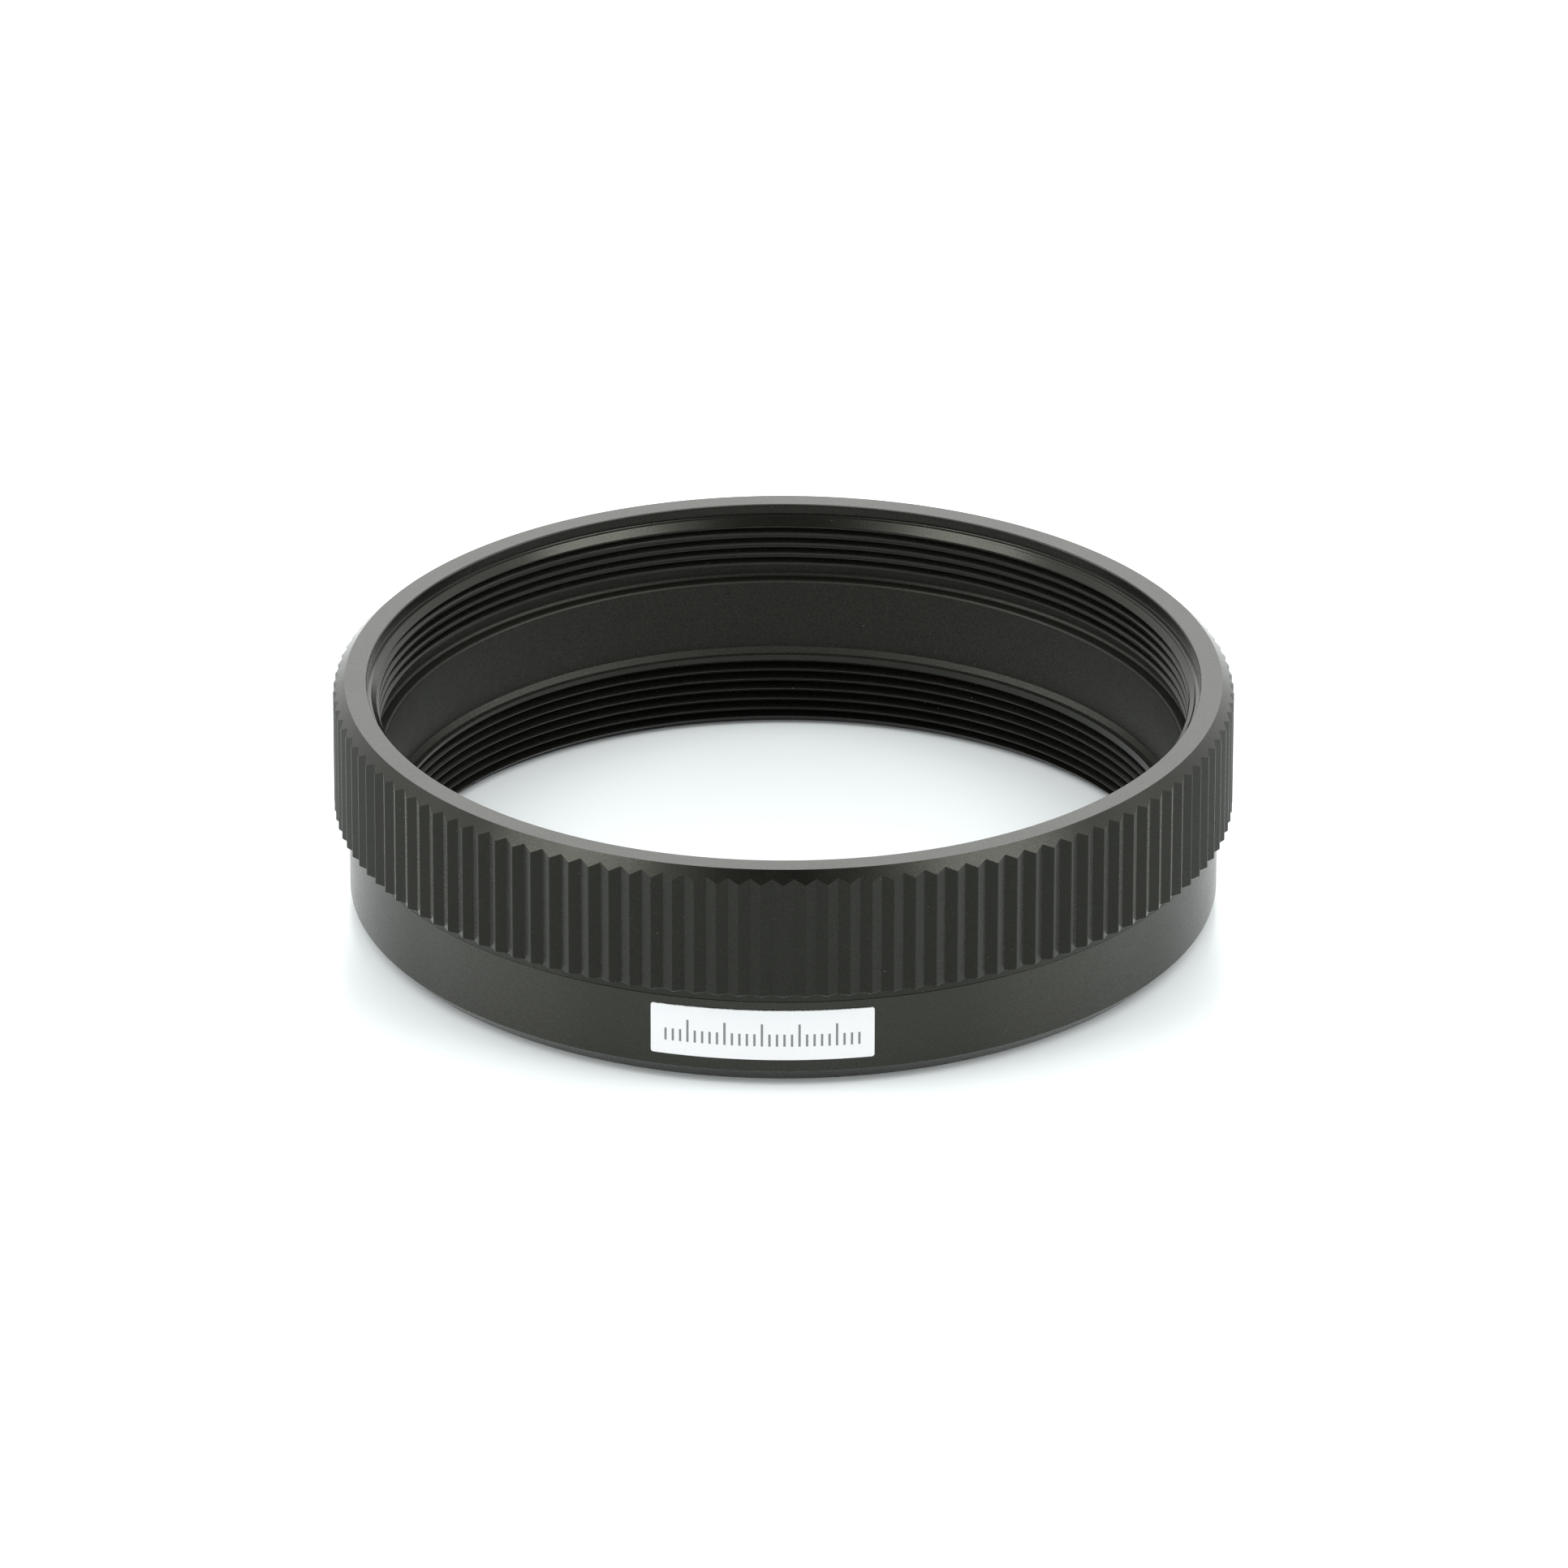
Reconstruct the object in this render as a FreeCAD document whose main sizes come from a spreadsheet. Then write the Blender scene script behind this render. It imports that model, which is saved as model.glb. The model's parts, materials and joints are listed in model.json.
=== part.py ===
import FreeCAD, Part
import math
import os
import Sketcher

# A screw-on lens hood. It stands on its front rim, with +Z along the light path towards the lens,
# and its origin is the centre of the rim's plane. The knurled mount collar sits on the barrel's
# spigot, and a paper label is stuck on the barrel's skirt. All sizes are in millimetres.

SIZES = [
    # The whole hood.
    ("hood_height", 16.15, "front rim to the collar's lens face"),
    ("skirt_diameter", 59.35, "plain outside of the barrel and of the collar's neck"),
    ("tunnel_diameter", 54.5, "smooth bore between the two threads"),
    ("seam_height", 6.23, "plane where collar and barrel meet"),
    ("seam_bevel", 0.1, "edge break on both sides of the seam"),
    ("spigot_diameter", 57.2, "barrel spigot that the collar is bonded over"),
    ("bond_gap", 0.02, "radial room for the retaining compound"),
    ("thread_pitch", 0.75, "pitch of both threads"),
    ("thread_overcut", 0.12, "how far the thread tool starts inside the crests"),
    # The mount collar.
    ("grip_diameter", 61.4, "over the knurl's ridges"),
    ("grip_underside", 7.05, "height of the knurl's lower face"),
    ("grip_bevel", 0.8, "bevel between the knurl and the lens face"),
    ("ridge_count", 130, "ridges round the knurl"),
    ("ridge_depth", 0.32, "depth of the grooves between ridges"),
    ("ridge_land", 0.06, "flat left on top of each ridge"),
    ("mouth_diameter", 56.8, "counterbore at the lens face"),
    ("mouth_depth", 0.8, "depth of that counterbore"),
    ("mouth_edge", 0.12, "edge break at the counterbore's mouth"),
    ("lens_thread_major", 56.0, "M56x0.75 female thread, at its roots"),
    ("lens_thread_minor", 55.188, "the same thread, at its crests"),
    ("relief_diameter", 56.2, "relief groove behind the lens thread"),
    ("relief_top", 11.88, "height of the relief groove's upper wall"),
    ("relief_bevel", 0.2, "bevel at the relief groove's foot"),
    ("stop_height", 10.8, "height of the face that stops the barrel's spigot"),
    ("lens_thread_start", 11.4225, "height of the tool's centre where the thread starts, at +X"),
    ("lens_thread_turns", 6.0, "turns of the tool, out past the counterbore"),
    # The barrel.
    ("spigot_gap", 0.02, "room above the spigot's end face"),
    ("spigot_bevel", 0.2, "lead-in on the spigot's outer edge"),
    ("spigot_edge", 0.2, "edge break on the spigot's inner edge"),
    ("tunnel_foot", 5.76, "height of the tunnel's foot, where it slopes in"),
    ("foot_inset", 0.256, "how far that slope goes in"),
    ("ledge_height", 5.38, "height of the narrow ledge between that slope and the thread"),
    ("filter_thread_major", 54.0, "M54x0.75 female thread, at its roots"),
    ("filter_thread_minor", 53.188, "the same thread, at its crests"),
    ("filter_mouth", 54.6, "lead-in bevel at the front rim"),
    ("rim_bevel", 1.1, "bevel between the skirt and the front rim"),
    ("filter_thread_start", -0.7955, "height of the tool's centre where the thread starts, at +X"),
    ("filter_thread_turns", 7.75, "turns of the tool, ending below that ledge"),
    # The paper label.
    ("label_length", 15.05, "length round the skirt"),
    ("label_width", 3.65, "width up the skirt"),
    ("label_bottom", 1.97, "height of its lower edge"),
    ("label_thickness", 0.1, "paper and adhesive"),
    ("label_corner", 0.18, "radius of its corners"),
    ("label_turn", 2.7, "degrees round from the front, seen from above clockwise"),
]


def make_sheet(doc):
    """The driving dimensions: a name, a number and what it is, one to a row."""
    sheet = doc.addObject("Spreadsheet::Sheet", "Sizes")
    for row, (alias, value, meaning) in enumerate(SIZES, start=1):
        sheet.set("A%d" % row, alias)
        sheet.set("B%d" % row, str(value))
        sheet.set("C%d" % row, meaning)
        sheet.setAlias("B%d" % row, alias)
    doc.recompute()
    return sheet


def origin_part(body, role):
    """A plane or an axis of the body's own origin."""
    for feature in body.Origin.OriginFeatures:
        if feature.Role == role:
            return feature
    raise RuntimeError("the body has no " + role)


def new_sketch(body, name, role):
    """An empty sketch on one of the body's origin planes."""
    sketch = body.newObject("Sketcher::SketchObject", name)
    sketch.AttachmentSupport = (origin_part(body, role), "")
    sketch.MapMode = "FlatFace"
    return sketch


def hold_point(sketch, line, end, across, up):
    """Hold one end of a line at a place given by two formulas of the sheet."""
    horizontal_axis, vertical_axis = -1, -2
    for kind, formula, axis in (("DistanceX", across, vertical_axis), ("DistanceY", up, horizontal_axis)):
        value = sketch.evalExpression(formula)
        if value == 0:
            sketch.addConstraint(Sketcher.Constraint("PointOnObject", line, end, axis))
            continue
        index = sketch.addConstraint(Sketcher.Constraint(kind, -1, 1, line, end, value))
        sketch.setExpression("Constraints[%d]" % index, formula)


def turned(degrees):
    """A placement on the hood's axis, turned by so many degrees."""
    return FreeCAD.Placement(FreeCAD.Vector(), FreeCAD.Rotation(FreeCAD.Vector(0, 0, 1), degrees))


def outline(body, name, role, corners):
    """A closed outline of straight lines, each corner a pair of formulas of the sheet."""
    sketch = new_sketch(body, name, role)
    points = []
    for across, up in corners:
        points.append(FreeCAD.Vector(sketch.evalExpression(across), sketch.evalExpression(up), 0))
    count = len(points)
    for line in range(count):
        sketch.addGeometry(Part.LineSegment(points[line], points[(line + 1) % count]), False)
    for line, (across, up) in enumerate(corners):
        sketch.addConstraint(Sketcher.Constraint("Coincident", line, 2, (line + 1) % count, 1))
        hold_point(sketch, line, 1, across, up)
    return sketch


def turn_on_lathe(body, name, corners):
    """A ring turned from its section, given as radius and height."""
    section = outline(body, name + "Section", "XZ_Plane", corners)
    ring = body.newObject("PartDesign::Revolution", name)
    ring.Profile = section
    ring.ReferenceAxis = (section, ["V_Axis"])
    ring.Angle = 360
    return ring


def require_less(before, after, what):
    """A cut has to take material away."""
    if not after < before:
        raise RuntimeError(what + " cut nothing")


def cut_thread(body, name, major, minor, start, turns):
    """A right-hand female thread of ISO form, cut upwards from its starting height at +X."""
    before = body.Shape.Volume
    inner = "Sizes.{0} / 2 - Sizes.thread_overcut".format(minor)
    outer = "Sizes.{0} / 2".format(major)
    half_root = "Sizes.thread_pitch / 16"
    half_mouth = "({0} + ({1} - ({2})) * tan(30))".format(half_root, outer, inner)
    centre = "Sizes." + start
    corners = [
        (inner, "{0} - {1}".format(centre, half_mouth)),
        (outer, "{0} - {1}".format(centre, half_root)),
        (outer, "{0} + {1}".format(centre, half_root)),
        (inner, "{0} + {1}".format(centre, half_mouth)),
    ]
    tool = outline(body, name + "Tool", "XZ_Plane", corners)
    thread = body.newObject("PartDesign::SubtractiveHelix", name)
    thread.Profile = tool
    thread.ReferenceAxis = (tool, ["V_Axis"])
    thread.Mode = 0
    thread.setExpression("Pitch", "Sizes.thread_pitch")
    thread.setExpression("Height", "Sizes.thread_pitch * Sizes." + turns)
    thread.LeftHanded = False
    thread.Reversed = False
    body.Document.recompute()
    require_less(before, body.Shape.Volume, name)


def cut_knurl(body):
    """V grooves side by side round the grip, through its bevel and its lower face."""
    before = body.Shape.Volume
    crest = "Sizes.grip_diameter / 2"
    spread = "(pi * Sizes.grip_diameter / Sizes.ridge_count - Sizes.ridge_land)"
    valley = "-({0} - Sizes.ridge_depth)".format(crest)
    outside = "-({0} + Sizes.ridge_depth)".format(crest)
    corners = [("0", valley), (spread, outside), ("-" + spread, outside)]
    groove_section = outline(body, "GrooveSection", "XY_Plane", corners)
    groove = body.newObject("PartDesign::Pocket", "Groove")
    groove.Profile = groove_section
    groove.Type = "ThroughAll"
    groove.Midplane = True
    body.Document.recompute()
    require_less(before, body.Shape.Volume, "Groove")
    one_groove = before - body.Shape.Volume
    knurl = body.newObject("PartDesign::PolarPattern", "Knurl")
    knurl.Originals = [groove]
    knurl.Axis = (origin_part(body, "Z_Axis"), "")
    knurl.Angle = 360
    knurl.setExpression("Occurrences", "Sizes.ridge_count")
    body.Tip = knurl
    body.Document.recompute()
    all_grooves = before - body.Shape.Volume
    if abs(all_grooves / one_groove - knurl.Occurrences) > 1:
        raise RuntimeError("the knurl has grooves missing")


def make_collar(doc):
    """The knurled ring that screws onto the lens, from its lens face down to the seam."""
    body = doc.addObject("PartDesign::Body", "MountCollar")
    body.Label = "mount_collar"
    top = "Sizes.hood_height"
    bore = "Sizes.spigot_diameter / 2 + Sizes.bond_gap"
    lead_in = "(Sizes.relief_diameter - Sizes.lens_thread_minor) / 2"
    turn_on_lathe(body, "CollarTurning", [
        ("Sizes.mouth_diameter / 2", top + " - Sizes.mouth_edge"),
        ("Sizes.mouth_diameter / 2 + Sizes.mouth_edge", top),
        ("Sizes.grip_diameter / 2 - Sizes.grip_bevel", top),
        ("Sizes.grip_diameter / 2", top + " - Sizes.grip_bevel"),
        ("Sizes.grip_diameter / 2", "Sizes.grip_underside"),
        ("Sizes.skirt_diameter / 2", "Sizes.grip_underside"),
        ("Sizes.skirt_diameter / 2", "Sizes.seam_height + Sizes.seam_bevel"),
        ("Sizes.skirt_diameter / 2 - Sizes.seam_bevel", "Sizes.seam_height"),
        (bore, "Sizes.seam_height"),
        (bore, "Sizes.stop_height"),
        ("Sizes.relief_diameter / 2 - Sizes.relief_bevel", "Sizes.stop_height"),
        ("Sizes.relief_diameter / 2", "Sizes.stop_height + Sizes.relief_bevel"),
        ("Sizes.relief_diameter / 2", "Sizes.relief_top"),
        ("Sizes.lens_thread_minor / 2", "Sizes.relief_top"),
        ("Sizes.lens_thread_minor / 2", "{0} - Sizes.mouth_depth - {1}".format(top, lead_in)),
        ("Sizes.relief_diameter / 2", top + " - Sizes.mouth_depth"),
        ("Sizes.mouth_diameter / 2", top + " - Sizes.mouth_depth"),
    ])
    doc.recompute()
    cut_knurl(body)
    cut_thread(body, "LensThread", "lens_thread_major", "lens_thread_minor",
               "lens_thread_start", "lens_thread_turns")
    # Half a ridge's turn brings a ridge, not a groove, to the front.
    body.Placement = turned(180 / body.evalExpression("Sizes.ridge_count"))
    doc.recompute()
    return body


def make_barrel(doc):
    """The plain front ring: rim, skirt, filter thread, and the spigot inside the collar."""
    body = doc.addObject("PartDesign::Body", "HoodBarrel")
    body.Label = "hood_barrel"
    crest = "Sizes.filter_thread_minor / 2"
    wall = "Sizes.tunnel_diameter / 2"
    spigot = "Sizes.spigot_diameter / 2"
    spigot_top = "Sizes.stop_height - Sizes.spigot_gap"
    turn_on_lathe(body, "BarrelTurning", [
        ("Sizes.filter_mouth / 2", "0"),
        ("Sizes.skirt_diameter / 2 - Sizes.rim_bevel", "0"),
        ("Sizes.skirt_diameter / 2", "Sizes.rim_bevel"),
        ("Sizes.skirt_diameter / 2", "Sizes.seam_height - Sizes.seam_bevel"),
        ("Sizes.skirt_diameter / 2 - Sizes.seam_bevel", "Sizes.seam_height"),
        (spigot, "Sizes.seam_height"),
        (spigot, spigot_top + " - Sizes.spigot_bevel"),
        (spigot + " - Sizes.spigot_bevel", spigot_top),
        (wall + " + Sizes.spigot_edge", spigot_top),
        (wall, spigot_top + " - Sizes.spigot_edge"),
        (wall, "Sizes.tunnel_foot"),
        (wall + " - Sizes.foot_inset", "Sizes.ledge_height"),
        (crest, "Sizes.ledge_height"),
        (crest, "Sizes.filter_mouth / 2 - " + crest),
    ])
    doc.recompute()
    cut_thread(body, "FilterThread", "filter_thread_major", "filter_thread_minor",
               "filter_thread_start", "filter_thread_turns")
    return body


def make_label(doc):
    """A strip of paper bent round the skirt, with small round corners."""
    body = doc.addObject("PartDesign::Body", "PaperLabel")
    body.Label = "paper_label"
    half_angle = "(180 * Sizes.label_length / (pi * Sizes.skirt_diameter))"
    inner = "Sizes.skirt_diameter / 2"
    outer = "Sizes.skirt_diameter / 2 + Sizes.label_thickness"
    section = outline(body, "PaperSection", "XZ_Plane", [
        (inner, "Sizes.label_bottom"),
        (outer, "Sizes.label_bottom"),
        (outer, "Sizes.label_bottom + Sizes.label_width"),
        (inner, "Sizes.label_bottom + Sizes.label_width"),
    ])
    strip = body.newObject("PartDesign::Revolution", "Strip")
    strip.Profile = section
    strip.ReferenceAxis = (section, ["V_Axis"])
    strip.Midplane = True
    strip.setExpression("Angle", "2 * " + half_angle)
    doc.recompute()
    thickness = body.evalExpression("Sizes.label_thickness")
    corners = []
    for number, edge in enumerate(strip.Shape.Edges, start=1):
        if math.isclose(edge.Length, thickness, rel_tol=1e-4):
            corners.append("Edge%d" % number)
    if len(corners) != 4:
        raise RuntimeError("the label has %d corner edges" % len(corners))
    rounded = body.newObject("PartDesign::Fillet", "Corners")
    rounded.Base = (strip, corners)
    rounded.setExpression("Radius", "Sizes.label_corner")
    body.Tip = rounded
    # The strip is made about +X, and turned to the front, which is -Y.
    body.Placement = turned(-90 - body.evalExpression("Sizes.label_turn"))
    doc.recompute()
    return body


def check(doc, pieces):
    """Stop if any object has failed, or a piece isn't one sound solid."""
    for thing in doc.Objects:
        if "Invalid" in thing.State or "Error" in thing.State:
            raise RuntimeError(thing.Name + " has failed")
    for piece in pieces:
        shape = piece.Shape
        if shape.isNull() or not shape.isValid() or len(shape.Solids) != 1:
            raise RuntimeError(piece.Label + " isn't one sound solid")


def main():
    doc = FreeCAD.newDocument("LensHood")
    make_sheet(doc)
    pieces = [make_collar(doc), make_barrel(doc), make_label(doc)]
    doc.recompute()
    check(doc, pieces)
    os.makedirs("parts", exist_ok=True)
    for piece in pieces:
        piece.Shape.exportStep("parts/%s.step" % piece.Label)
        print("%s: %.1f mm3" % (piece.Label, piece.Shape.Volume))


main()
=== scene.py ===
import json
import math

import bpy
import numpy as np
from mathutils import Matrix, Vector


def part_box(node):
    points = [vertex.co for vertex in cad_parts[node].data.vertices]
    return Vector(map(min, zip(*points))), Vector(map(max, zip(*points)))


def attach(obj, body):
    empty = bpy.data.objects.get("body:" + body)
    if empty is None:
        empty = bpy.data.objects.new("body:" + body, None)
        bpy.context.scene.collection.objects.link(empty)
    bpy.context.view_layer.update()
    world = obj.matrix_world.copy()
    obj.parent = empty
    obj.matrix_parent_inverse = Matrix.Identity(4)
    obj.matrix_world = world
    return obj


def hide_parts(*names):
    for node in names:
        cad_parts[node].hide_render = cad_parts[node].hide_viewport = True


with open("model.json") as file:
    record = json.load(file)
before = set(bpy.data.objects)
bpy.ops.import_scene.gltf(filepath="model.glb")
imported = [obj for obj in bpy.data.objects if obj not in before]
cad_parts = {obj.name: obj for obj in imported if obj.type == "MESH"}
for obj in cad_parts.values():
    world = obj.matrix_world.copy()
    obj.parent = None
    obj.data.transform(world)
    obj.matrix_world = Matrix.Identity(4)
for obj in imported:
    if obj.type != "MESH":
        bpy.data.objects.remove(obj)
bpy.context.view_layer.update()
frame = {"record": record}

MM = 0.001


def box_mm(node):
    """A CAD node's lowest and highest corner, in millimetres."""
    low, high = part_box(node)
    return np.array(low) / MM, np.array(high) / MM


def mount_radius(name):
    """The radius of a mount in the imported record, in millimetres."""
    for mount in frame["record"]["mounts"]:
        if mount["name"] == name:
            return mount["dims"]["r_mm"]
    raise RuntimeError("the record has no mount named " + name)


COLLAR_LOW, COLLAR_HIGH = box_mm("mount_collar")
BARREL_HIGH = box_mm("hood_barrel")[1]
LABEL_LOW, LABEL_HIGH = box_mm("paper_label")

# Millimetres from the rim's plane and the hood's axis. The pieces' heights come from their boxes.
HOOD_HEIGHT = COLLAR_HIGH[2]
SEAM = COLLAR_LOW[2]
# A tenth of a micrometre inside the CAD's knurl.
GRIP_R = 30.6999
SKIRT_R = 29.675
SEAM_EDGE = 0.03
SPIGOT_BEVEL = 0.2
GRIP_FOOT = 7.05
GRIP_BEVEL = 0.8
RIDGES = 130
RIDGE_DEPTH = 0.32
RIDGE_LAND = 0.06
MOUTH_R = 28.4
MOUTH_DEPTH = 0.8
MOUTH_EDGE = 0.12
RELIEF_R = 28.1
RELIEF_TOP = 11.88
STOP = 10.8
SPIGOT_R = 28.6
BOND_GAP = 0.02
SPIGOT_TOP = BARREL_HIGH[2]
TUNNEL_R = 27.25
TUNNEL_FOOT = 5.76
FOOT_INSET = 0.256
LEDGE = 5.38
FILTER_MOUTH_R = 27.3
RIM_BEVEL = 1.1
SPIGOT_EDGE = 0.2
RELIEF_COVE = 0.3
# At the corner of the mouth's floor, and twice as large at the knurl's foot.
FINE_EDGE = 0.04

PITCH = 0.75
LENS_THREAD_DEPTH = 0.406
FILTER_THREAD_DEPTH = 0.58
FLANK_SLOPE = 1 / math.tan(math.radians(30))
LENS_CREST_R = mount_radius("lens_thread")
FILTER_CREST_R = mount_radius("filter_thread")
# Height of each thread's first groove at +X.
LENS_START = 10.6725
FILTER_START = -0.7955
LENS_GROOVES = 8
FILTER_GROOVES = 10
LENS_ROOT_FLAT = 0.1
FILTER_ROOT_FLAT = 0.02
# The filter thread's groove keeps its depth for the first number of turns, and runs out over the second.
FILTER_TURNS = 7.5
RUN_OUT_TURNS = 0.5

LABEL_LENGTH = 15.05
LABEL_THICKNESS = 0.1
LABEL_CORNER = 0.18
LABEL_RAGGED = 0.025
# Degrees from the front towards -X.
LABEL_TURN = 2.7

# Mesh steps along each fillet, round the barrel, and along and up the label.
MOUTH_STEPS = 4
SPIGOT_STEPS = 5
COVE_STEPS = 4
BARREL_STEPS = 720
LABEL_CORNER_STEPS = 5
LABEL_MIDDLE_POINTS = 140
LABEL_ROWS = 8
# Halvings of a pitch that find where a groove leaves its wall.
BISECTIONS = 40

# Faces that meet at a larger angle than this, in degrees, get a hard edge.
RING_SHARP = 6
LABEL_SHARP = 40

# The numbers of a ring's materials, and how far a face's centre may be from a zone's border.
OUTSIDE, LINING, THREAD, KNURL = range(4)
ZONE_SLACK = 0.01
LEDGE_SLACK = 0.001

# Colours. The dye's grain runs from GRAIN_DARK to GRAIN_LIGHT times its colour.
DYE = (0.0032, 0.0032, 0.0026)
LINING_DYE = (0.0052, 0.0052, 0.0042)
GRAIN_DARK = 0.05
GRAIN_LIGHT = 1.95
DUST_COLOUR = (0.06, 0.058, 0.05)
SPECULAR_TINT = (0.98, 1.0, 0.86, 1)
SHEEN_TINT = (0.98, 1.0, 0.88, 1)
PAPER_DARK = (0.62, 0.632, 0.642)
PAPER_LIGHT = (0.65, 0.66, 0.668)
INK = (0.10, 0.10, 0.10)
FLOOR_DARK = (0.652, 0.686, 0.69)
FLOOR_LIGHT = (0.667, 0.702, 0.706)

# The coating's noise scales per metre, and how far the grain and the clouds move its roughness.
GRAIN_SCALE = 9000
CLOUD_SCALE = 260
DUST_SCALE = 5200
GRAIN_GLOSS = 0.05
CLOUD_GLOSS = 0.02
SHEEN_ROUGHNESS = 0.3
# Noise scales per millimetre of paper, and per metre of floor.
MOTTLE_SCALE = 6.0
WEAR_SCALE = 30.0
FIBRE_SCALE = 14.0
FLOOR_SCALE = 40.0
# Metres.
GRAIN_HEIGHT = 0.000005
PAPER_HEIGHT = 0.00001

# The label's ticks, in millimetres: x from its middle, y from its lower edge. Each fifth one is long.
TICK_STEP = 0.5
LONG_TICK_STEP = 5 * TICK_STEP
TICK_WIDTH = 0.16
TICK_FOOT = 1.0
SHORT_TICK_TOP = 1.9
LONG_TICK_TOP = 2.65
TICKS_REACH = 6.65

SKY_STRENGTH = 1.4
# Metres, degrees, and the lens in millimetres.
FLOOR_HALF = 3.0
CARD_HALF = 0.28
HOOD_MIDDLE = Vector((0, 0, 0.008))
CAMERA_TARGET = Vector((0.0000416, 0, 0.008098))
CAMERA_DISTANCE = 0.96395
CAMERA_ELEVATION = 25.634
CAMERA_ROLL = 0.0908
CAMERA_LENS = 323.72


def thread_rows(angles, grooves, root_flat, envelope, bend, low, high):
    """Helical grooves cut into a turned wall.

    envelope gives the wall's radius at a height, bend is the height where it bends, and each groove is
    (centre height at each angle, root radius at each angle). The result is, for each angle, the wall's
    outline from low to high with the same number of points everywhere. Points that fall together are
    merged later.
    """
    half_root = root_flat / 2

    def groove_radius(z, groove):
        centre, root = groove
        return root - np.maximum(0, np.abs(z - centre) - half_root) * FLANK_SLOPE

    def wall_radius(z):
        radius = envelope(z)
        for groove in grooves:
            radius = np.maximum(radius, groove_radius(z, groove))
        return radius

    def crossing(groove, inside, outside):
        """The height between inside and outside where the groove leaves the wall."""
        for _ in range(BISECTIONS):
            middle = (inside + outside) / 2
            cut = groove_radius(middle, groove) > envelope(middle)
            inside = np.where(cut, middle, inside)
            outside = np.where(cut, outside, middle)
        return inside

    heights = []
    previous_top = np.full(len(angles), low - 1.0)
    for groove in grooves:
        centre = groove[0]
        lower, upper = centre - half_root, centre + half_root
        lower_cut = groove_radius(lower, groove) - envelope(lower)
        upper_cut = groove_radius(upper, groove) - envelope(upper)
        best = np.where(lower_cut > upper_cut, lower, upper)
        cuts = np.maximum(lower_cut, upper_cut) > 0
        bottom = np.where(cuts, crossing(groove, best, best - PITCH), best)
        top = np.where(cuts, crossing(groove, best, best + PITCH), best)
        heights.append(np.clip(bend, previous_top, bottom))
        heights += [bottom, np.clip(lower, bottom, top), np.clip(upper, bottom, top), top]
        previous_top = top
    heights.append(np.maximum(bend, previous_top))
    z = np.clip(np.array(heights), low, high)
    r = np.array([wall_radius(row) for row in z])
    return np.stack([r, z], axis=-1)


def helix(angles, first, count, crest, depth, run_out=None):
    """The turns of a right-hand helical groove, as grooves one pitch apart. It starts at angle 0.

    first is its height there. After run_out turns it gets shallower until it is gone.
    """
    grooves = []
    for number in range(count):
        turns = number + angles / (2 * math.pi)
        spent = np.zeros(len(angles))
        if run_out is not None:
            spent = np.clip((turns - run_out) / RUN_OUT_TURNS, 0, 1)
        grooves.append((first + PITCH * turns, crest + depth * (1 - spent)))
    return grooves


def ring_mesh(name, angles, rows):
    """A closed ring from outlines.

    rows[point, angle] is (radius, height), and the last angle is a full turn after the first.
    """
    points, columns = rows.shape[:2]
    x = rows[:, :, 0] * np.cos(angles)
    y = rows[:, :, 0] * np.sin(angles)
    places = np.stack([x, y, rows[:, :, 1]], axis=-1).reshape(-1, 3)
    # Places that are equal to a hundred-thousandth of a millimetre become one vertex.
    keys = np.round(places * 1e5).astype(np.int64)
    first, index = np.unique(keys, axis=0, return_index=True, return_inverse=True)[1:]
    index = index.reshape(points, columns)
    faces = []
    seen = set()
    for p in range(points):
        q = (p + 1) % points
        for c in range(columns - 1):
            loop = []
            for corner in (index[p, c], index[q, c], index[q, c + 1], index[p, c + 1]):
                if not loop or (corner != loop[-1] and corner != loop[0]):
                    loop.append(int(corner))
            if len(loop) < 3:
                continue
            key = tuple(sorted(loop))
            if key not in seen:
                seen.add(key)
                faces.append(loop)
    mesh = bpy.data.meshes.new(name)
    mesh.from_pydata((places[first] * MM).tolist(), [], faces)
    return mesh


def finish_piece(mesh, name, node, materials, sharp_degrees, zone=None):
    """Make an object of a mesh, shade it, give it its materials, attach it to the root body, and hide its
    CAD node.

    zone gives the number of a face's material from the radius and height of the face's centre.
    """
    mesh.validate()
    mesh.update()
    mesh.shade_smooth()
    mesh.set_sharp_from_angle(angle=math.radians(sharp_degrees))
    for material in materials:
        mesh.materials.append(material)
    if zone:
        for face in mesh.polygons:
            x, y, z = face.center / MM
            face.material_index = zone(math.hypot(x, y), z)
    piece = bpy.data.objects.new(name, mesh)
    bpy.context.scene.collection.objects.link(piece)
    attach(piece, "root")
    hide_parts(node)


def level(columns, *corners):
    """Points that keep one radius and height all the way round."""
    return np.array([[[r, z]] * columns for r, z in corners])


def rounded(centre_r, centre_z, radius, start, stop, steps):
    """Corners along an arc; the angles are in degrees, from outwards towards up."""
    turns = np.radians(np.linspace(start, stop, steps + 1))
    return [(centre_r + radius * math.cos(turn), centre_z + radius * math.sin(turn)) for turn in turns]


def knurl_angles():
    """Angles that fall on each ridge's land, its flanks and its valley, with a ridge at the front."""
    period = 2 * math.pi / RIDGES
    land = RIDGE_LAND / 2 / GRIP_R
    valley = period / 2
    third = (valley - land) / 3
    steps = [0, land, land + third, land + 2 * third, valley]
    one = steps + [period - step for step in steps[-2:0:-1]]
    angles = []
    for ridge in range(RIDGES):
        angles += [ridge * period + step for step in one]
    return np.array(angles + [2 * math.pi]), period


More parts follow.
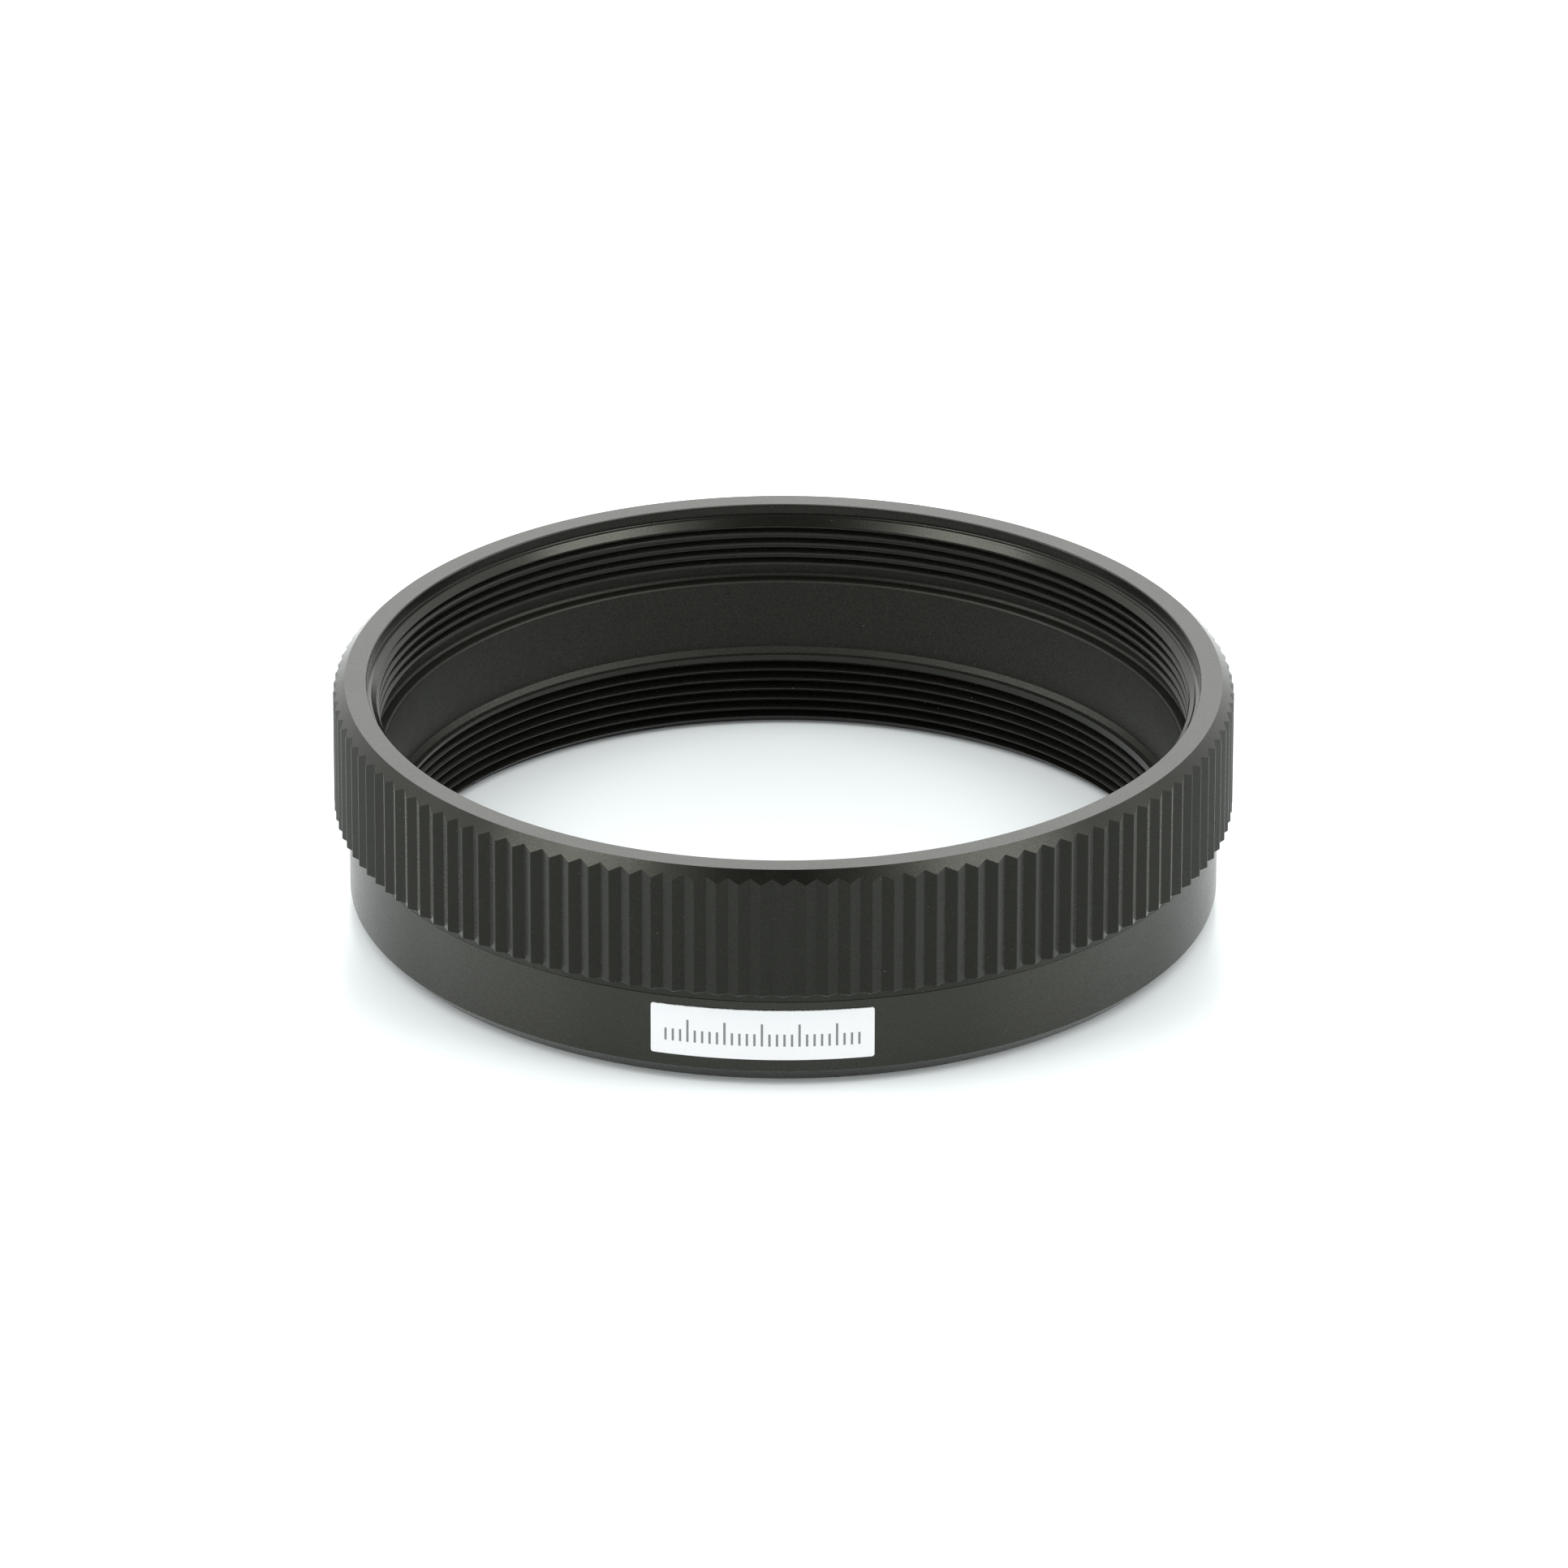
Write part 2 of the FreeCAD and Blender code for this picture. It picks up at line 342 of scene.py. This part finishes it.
def knurl_radius(angles, period):
    """The knurl's outer radius at each angle: straight flanks between the land and the valley."""
    land = RIDGE_LAND / 2 / GRIP_R
    valley = period / 2
    away = np.abs((angles + valley) % period - valley)
    crest = np.array([GRIP_R * math.cos(land), GRIP_R * math.sin(land)])
    root_r = GRIP_R - RIDGE_DEPTH
    root = np.array([root_r * math.cos(valley), root_r * math.sin(valley)])
    along = root - crest
    radius = ((crest[0] * along[1] - crest[1] * along[0])
              / (np.cos(away) * along[1] - np.sin(away) * along[0]))
    return np.where(away <= land, GRIP_R, radius)


def make_collar(materials):
    """The upper ring: knurl, bevel, counterbored mouth, lens thread, relief groove, and neck."""
    # These angles start at the front, -Y, so the lens thread is a quarter of its pitch lower there.
    angles, period = knurl_angles()
    columns = len(angles)
    grip = knurl_radius(angles, period)
    top = HOOD_HEIGHT
    mouth_floor = top - MOUTH_DEPTH
    cone_foot = mouth_floor - (RELIEF_R - LENS_CREST_R)

    def wall(z):
        return LENS_CREST_R + np.maximum(0, z - cone_foot)

    grooves = helix(angles, LENS_START - PITCH / 4, LENS_GROOVES, LENS_CREST_R, LENS_THREAD_DEPTH)
    thread = thread_rows(angles, grooves, LENS_ROOT_FLAT, wall, cone_foot, RELIEF_TOP, mouth_floor)
    # The bevel is at 45 degrees: on it, radius and height add up to this.
    bevel = GRIP_R - GRIP_BEVEL + top
    foot_edge = 2 * FINE_EDGE
    knurl = np.array([
        np.stack([grip, bevel - grip], axis=-1),
        np.stack([grip, np.full(columns, GRIP_FOOT + foot_edge)], axis=-1),
        np.stack([grip - foot_edge, np.full(columns, GRIP_FOOT)], axis=-1),
    ])
    bore = SPIGOT_R + BOND_GAP
    rows = np.concatenate([
        level(columns, (RELIEF_R, RELIEF_TOP)),
        thread,
        level(columns,
              (MOUTH_R - FINE_EDGE, mouth_floor),
              (MOUTH_R, mouth_floor + FINE_EDGE),
              *rounded(MOUTH_R + MOUTH_EDGE, top - MOUTH_EDGE, MOUTH_EDGE, 180, 90, MOUTH_STEPS),
              (GRIP_R - GRIP_BEVEL, top)),
        knurl,
        level(columns,
              (SKIRT_R, GRIP_FOOT),
              (SKIRT_R, SEAM + SEAM_EDGE),
              (SKIRT_R - SEAM_EDGE, SEAM),
              (bore, SEAM),
              (bore, STOP),
              (RELIEF_R - RELIEF_COVE / 2, STOP),
              *rounded(RELIEF_R - RELIEF_COVE, STOP + RELIEF_COVE, RELIEF_COVE, -60, 0, COVE_STEPS)),
    ])
    mesh = ring_mesh("mount_collar_visual", angles - math.pi / 2, rows)

    def zone(r, z):
        if r < RELIEF_R + ZONE_SLACK:
            return THREAD if z > RELIEF_TOP - ZONE_SLACK else LINING
        return KNURL if r > GRIP_R - GRIP_BEVEL and r + z < bevel - ZONE_SLACK else OUTSIDE

    finish_piece(mesh, "mount_collar_visual", "mount_collar", materials,
                 RING_SHARP, zone)


def make_barrel(materials):
    """The lower ring: skirt, rim, filter thread, ledge, smooth bore, and the spigot inside the collar."""
    columns = BARREL_STEPS + 1
    angles = np.linspace(0, 2 * math.pi, columns)
    mouth = FILTER_MOUTH_R - FILTER_CREST_R

    def wall(z):
        return FILTER_CREST_R + np.maximum(0, mouth - z)

    grooves = helix(angles, FILTER_START, FILTER_GROOVES, FILTER_CREST_R, FILTER_THREAD_DEPTH,
                    FILTER_TURNS)
    thread = thread_rows(angles, grooves, FILTER_ROOT_FLAT, wall, mouth, 0.0, LEDGE)
    rows = np.concatenate([
        thread,
        level(columns,
              (TUNNEL_R - FOOT_INSET, LEDGE),
              (TUNNEL_R, TUNNEL_FOOT),
              *rounded(TUNNEL_R + SPIGOT_EDGE, SPIGOT_TOP - SPIGOT_EDGE, SPIGOT_EDGE, 180, 90,
                       SPIGOT_STEPS),
              (SPIGOT_R - SPIGOT_BEVEL, SPIGOT_TOP),
              (SPIGOT_R, SPIGOT_TOP - SPIGOT_BEVEL),
              (SPIGOT_R, SEAM),
              (SKIRT_R - SEAM_EDGE, SEAM),
              (SKIRT_R, SEAM - SEAM_EDGE),
              (SKIRT_R, RIM_BEVEL),
              (SKIRT_R - RIM_BEVEL, 0)),
    ])
    mesh = ring_mesh("hood_barrel_visual", angles, rows)

    def zone(r, z):
        if z < LEDGE - LEDGE_SLACK:
            return THREAD if r < FILTER_MOUTH_R else OUTSIDE
        return LINING if r < SPIGOT_R - SPIGOT_BEVEL else OUTSIDE

    finish_piece(mesh, "hood_barrel_visual", "hood_barrel", materials,
                 RING_SHARP, zone)


def make_label(material):
    """A strip of paper bent round the skirt, with small round corners and a slightly ragged upper edge."""
    low, high = LABEL_LOW[2], LABEL_HIGH[2]
    half = LABEL_LENGTH / 2
    straight = half - LABEL_CORNER
    corner_turns = np.linspace(0, math.pi / 2, LABEL_CORNER_STEPS + 1)
    rounding = half - LABEL_CORNER * (1 - np.cos(corner_turns))
    middle = np.linspace(-straight, straight, LABEL_MIDDLE_POINTS)
    along = np.concatenate([-rounding[:-1], middle, rounding[:-1][::-1]])
    reach = np.maximum(0, np.abs(along) - straight)
    inset = LABEL_CORNER - np.sqrt(np.maximum(0, LABEL_CORNER ** 2 - reach ** 2))
    ragged = np.random.default_rng(7).random(len(along)) * LABEL_RAGGED * (reach == 0)
    angle = along / SKIRT_R - math.pi / 2 - math.radians(LABEL_TURN)
    rows = LABEL_ROWS
    places, faces, uvs = [], [], []
    for radius in (SKIRT_R, SKIRT_R + LABEL_THICKNESS):
        for row in range(rows + 1):
            share = row / rows
            z = (low + inset) * (1 - share) + (high - inset - ragged) * share
            places += np.stack([radius * np.cos(angle), radius * np.sin(angle), z], axis=-1).tolist()
            uvs += np.stack([along, z - low], axis=-1).tolist()
    columns = len(along)
    layer = (rows + 1) * columns

    def vertex(side, row, column):
        return side * layer + row * columns + column

    for row in range(rows):
        for column in range(columns - 1):
            square = [(row, column), (row, column + 1), (row + 1, column + 1), (row + 1, column)]
            faces.append([vertex(1, r, c) for r, c in square])
            faces.append([vertex(0, r, c) for r, c in reversed(square)])
    border = [(0, c) for c in range(columns)] + [(r, columns - 1) for r in range(1, rows + 1)]
    border += [(rows, c) for c in range(columns - 2, -1, -1)] + [(r, 0) for r in range(rows - 1, 0, -1)]
    for (r0, c0), (r1, c1) in zip(border, border[1:] + border[:1]):
        faces.append([vertex(0, r0, c0), vertex(0, r1, c1), vertex(1, r1, c1), vertex(1, r0, c0)])
    mesh = bpy.data.meshes.new("paper_label_visual")
    mesh.from_pydata((np.array(places) * MM).tolist(), [], faces)
    layer_uv = mesh.uv_layers.new(name="paper_mm")
    for loop in mesh.loops:
        layer_uv.data[loop.index].uv = uvs[loop.vertex_index]
    finish_piece(mesh, "paper_label_visual", "paper_label", [material], LABEL_SHARP)


class Nodes:
    """Short ways to add and link the nodes of a new material."""

    def __init__(self, name):
        self.material = bpy.data.materials.new(name)
        self.material.use_nodes = True
        self.tree = self.material.node_tree
        self.tree.nodes.clear()

    def add(self, kind, **settings):
        node = self.tree.nodes.new(kind)
        for key, value in settings.items():
            setattr(node, key, value)
        return node

    def link(self, source, target):
        self.tree.links.new(source, target)

    def place(self):
        """The place on the object, in metres."""
        return self.add("ShaderNodeTexCoord").outputs["Object"]

    def math(self, operation, a, b=None):
        node = self.add("ShaderNodeMath", operation=operation)
        for socket, value in zip(node.inputs, (a, b)):
            if value is None:
                continue
            if isinstance(value, (int, float)):
                socket.default_value = value
            else:
                self.link(value, socket)
        return node.outputs[0]

    def noise(self, place, scale, detail, roughness):
        node = self.add("ShaderNodeTexNoise")
        node.inputs["Scale"].default_value = scale
        node.inputs["Detail"].default_value = detail
        node.inputs["Roughness"].default_value = roughness
        self.link(place, node.inputs["Vector"])
        return node.outputs["Fac"]

    def remap(self, value, from_low, from_high, to_low, to_high):
        node = self.add("ShaderNodeMapRange")
        for socket, number in zip(node.inputs[1:5], (from_low, from_high, to_low, to_high)):
            socket.default_value = number
        self.link(value, node.inputs[0])
        return node.outputs[0]

    def mix(self, share, a, b):
        """A colour between a and b, each an (r, g, b) or another node's output."""
        node = self.add("ShaderNodeMix", data_type="RGBA")
        self.link(share, node.inputs[0])
        for socket, value in ((node.inputs[6], a), (node.inputs[7], b)):
            if isinstance(value, tuple):
                socket.default_value = (*value, 1)
            else:
                self.link(value, socket)
        return node.outputs[2]

    def bump(self, height, strength, distance):
        node = self.add("ShaderNodeBump")
        node.inputs["Strength"].default_value = strength
        node.inputs["Distance"].default_value = distance
        self.link(height, node.inputs["Height"])
        return node.outputs[0]

    def shader(self, **sockets):
        """Join a Principled shader to the output. Each socket goes by its name in small_letters."""
        shader = self.add("ShaderNodeBsdfPrincipled")
        names = {socket.name.lower().replace(" ", "_"): socket for socket in shader.inputs}
        for name, value in sockets.items():
            if isinstance(value, bpy.types.NodeSocket):
                self.link(value, names[name])
            else:
                names[name].default_value = value
        self.link(shader.outputs[0], self.add("ShaderNodeOutputMaterial").inputs[0])
        return self.material


def anodised(name, dye, roughness, reflectivity, sheen=0.0):
    """Bead-blasted, black-anodised aluminium: a dark dyed layer with a fine grain and a few dust specks."""
    n = Nodes(name)
    place = n.place()
    grain = n.noise(place, GRAIN_SCALE, detail=1.5, roughness=0.5)
    cloud = n.noise(place, CLOUD_SCALE, detail=5.0, roughness=0.55)
    # Specks only where the noise is near its highest.
    dust = n.remap(n.noise(place, DUST_SCALE, detail=2.0, roughness=0.4), 0.77, 0.80, 0.0, 1.0)
    thin_dye = tuple(GRAIN_DARK * part for part in dye)
    thick_dye = tuple(GRAIN_LIGHT * part for part in dye)
    dark = n.mix(n.remap(grain, 0.32, 0.68, 0.0, 1.0), thin_dye, thick_dye)
    return n.shader(
        base_color=n.mix(dust, dark, DUST_COLOUR),
        roughness=n.math("ADD",
                         n.remap(grain, 0.3, 0.7, roughness + GRAIN_GLOSS, roughness - GRAIN_GLOSS),
                         n.remap(cloud, 0.35, 0.65, -CLOUD_GLOSS, CLOUD_GLOSS)),
        specular_ior_level=reflectivity,
        specular_tint=SPECULAR_TINT,
        sheen_weight=sheen,
        sheen_roughness=SHEEN_ROUGHNESS,
        sheen_tint=SHEEN_TINT,
        normal=n.bump(grain, strength=1.0, distance=GRAIN_HEIGHT))


def paper(name):
    """White label paper with a faint mottle and fibres, and a plain printed row of ticks."""
    n = Nodes(name)
    uv = n.add("ShaderNodeUVMap", uv_map="paper_mm").outputs[0]
    split = n.add("ShaderNodeSeparateXYZ")
    n.link(uv, split.inputs[0])
    x, y = split.outputs[0], split.outputs[1]

    def on_tick(step):
        """1 on ticks that are step apart, one of them at x = 0."""
        # A whole number of steps is added so that the modulo never sees a negative number.
        shifted = n.math("ADD", x, 40 * step + step / 2)
        away = n.math("ABSOLUTE", n.math("SUBTRACT", n.math("MODULO", shifted, step), step / 2))
        return n.math("LESS_THAN", away, TICK_WIDTH / 2)

    short = n.math("MULTIPLY", on_tick(TICK_STEP), n.math("LESS_THAN", y, SHORT_TICK_TOP))
    long = n.math("MULTIPLY", on_tick(LONG_TICK_STEP), n.math("LESS_THAN", y, LONG_TICK_TOP))
    above_foot = n.math("GREATER_THAN", y, TICK_FOOT)
    inside = n.math("LESS_THAN", n.math("ABSOLUTE", x), TICKS_REACH)
    ink = n.math("MULTIPLY", n.math("MULTIPLY", n.math("MAXIMUM", short, long), above_foot), inside)
    mottle = n.noise(uv, MOTTLE_SCALE, detail=5.0, roughness=0.6)
    stock = n.mix(n.remap(mottle, 0.3, 0.7, 0.0, 1.0), PAPER_DARK, PAPER_LIGHT)
    wear = n.noise(uv, WEAR_SCALE, detail=3.0, roughness=0.6)
    worn = n.math("MULTIPLY", ink, n.remap(wear, 0.3, 0.7, 0.8, 1.0))
    fibres = n.noise(uv, FIBRE_SCALE, detail=4.0, roughness=0.6)
    return n.shader(
        base_color=n.mix(worn, stock, INK),
        roughness=0.6,
        normal=n.bump(fibres, strength=0.3, distance=PAPER_HEIGHT))


def sweep(name):
    """A plain white tabletop with a soft gloss and a very faint mottle."""
    n = Nodes(name)
    mottle = n.noise(n.place(), FLOOR_SCALE, detail=3.0, roughness=0.5)
    return n.shader(base_color=n.mix(mottle, FLOOR_DARK, FLOOR_LIGHT), roughness=0.25)


def at(azimuth, elevation, distance):
    """A place seen from the hood: azimuth 0 is the camera's side and 90 is +X."""
    a, e = math.radians(azimuth), math.radians(elevation)
    return (distance * math.sin(a) * math.cos(e),
            -distance * math.cos(a) * math.cos(e),
            distance * math.sin(e))


def soft_box(name, place, size, radiance):
    """A rectangular light at a place, in metres, that faces the hood and looks this bright."""
    light = bpy.data.lights.new(name, "AREA")
    light.shape = "RECTANGLE"
    light.size, light.size_y = size
    light.energy = radiance * math.pi * size[0] * size[1]
    lamp = bpy.data.objects.new(name, light)
    bpy.context.scene.collection.objects.link(lamp)
    lamp.location = place
    lamp.rotation_mode = "QUATERNION"
    lamp.rotation_quaternion = (HOOD_MIDDLE - Vector(place)).to_track_quat("-Z", "Y")


def board(name, half, material, place=None):
    """A square sheet on the floor's plane, or at a place and facing the origin."""
    mesh = bpy.data.meshes.new(name)
    corners = [(-half, -half, 0), (half, -half, 0), (half, half, 0), (-half, half, 0)]
    mesh.from_pydata(corners, [], [(0, 1, 2, 3)])
    mesh.materials.append(material)
    sheet = bpy.data.objects.new(name, mesh)
    bpy.context.scene.collection.objects.link(sheet)
    if place:
        sheet.location = place
        sheet.rotation_mode = "QUATERNION"
        sheet.rotation_quaternion = (-Vector(place)).to_track_quat("-Z", "Y")


def make_studio():
    """A white floor and sky, soft lights round the hood, and a dark card above the camera."""
    scene = bpy.context.scene
    scene.view_settings.view_transform = "Standard"
    board("floor", FLOOR_HALF, sweep("studio_sweep"))

    world = bpy.data.worlds.new("studio")
    world.use_nodes = True
    sky = world.node_tree.nodes["Background"]
    sky.inputs["Color"].default_value = (1, 1, 1, 1)
    sky.inputs["Strength"].default_value = SKY_STRENGTH
    scene.world = world

    for name, azimuth, elevation, distance, size, radiance in (
        ("back", 180, 30, 1.2, (0.8, 0.75), 1.7),
        ("side_right", 82, 24, 1.2, (1.02, 0.4), 4.5),
        ("side_left", -82, 24, 1.2, (1.02, 0.4), 4.5),
        ("roof_right", 90, 76, 1.1, (0.5, 0.4), 3.3),
        ("roof_left", -90, 76, 1.1, (0.5, 0.4), 3.3),
        ("key_right", 72, 53, 1.1, (0.48, 0.36), 5.4),
        ("key_left", -72, 53, 1.1, (0.48, 0.36), 5.4),
    ):
        soft_box(name, at(azimuth, elevation, distance), size, radiance)
    card_black = anodised("card_black", (0.01, 0.01, 0.01), roughness=0.9, reflectivity=0.1)
    board("dark_card", CARD_HALF, card_black, at(0, 63, 1.1))


def make_camera():
    """The photograph's view: a long lens from the front, a little over 25 degrees above the floor."""
    camera_data = bpy.data.cameras.new("camera")
    camera_data.sensor_width = 36
    camera_data.lens = CAMERA_LENS
    camera_data.clip_start, camera_data.clip_end = 0.05, 20
    camera = bpy.data.objects.new("camera", camera_data)
    elevation, roll = math.radians(CAMERA_ELEVATION), math.radians(CAMERA_ROLL)
    back = Vector((0, -math.cos(elevation), math.sin(elevation)))
    up = Vector((0, math.sin(elevation), math.cos(elevation)))
    right = Vector((1, 0, 0))
    x_axis = right * math.cos(roll) + up * math.sin(roll)
    y_axis = up * math.cos(roll) - right * math.sin(roll)
    camera.location = CAMERA_TARGET + back * CAMERA_DISTANCE
    camera.rotation_mode = "QUATERNION"
    camera.rotation_quaternion = Matrix((x_axis, y_axis, back)).transposed().to_quaternion()
    bpy.context.scene.collection.objects.link(camera)
    bpy.context.scene.camera = camera


lining = anodised("anodised_lining", LINING_DYE, roughness=0.43, reflectivity=0.26)
thread_cut = anodised("anodised_thread", DYE, roughness=0.20, reflectivity=0.33)
collar_outside = anodised("collar_anodised", DYE, roughness=0.23, reflectivity=0.30, sheen=0.12)
collar_knurl = anodised("collar_knurl", DYE, roughness=0.23, reflectivity=0.21, sheen=0.25)
barrel_outside = anodised("barrel_anodised", DYE, roughness=0.26, reflectivity=0.41, sheen=0.05)
make_collar([collar_outside, lining, thread_cut, collar_knurl])
make_barrel([barrel_outside, lining, thread_cut])
make_label(paper("label_paper"))
make_studio()
make_camera()
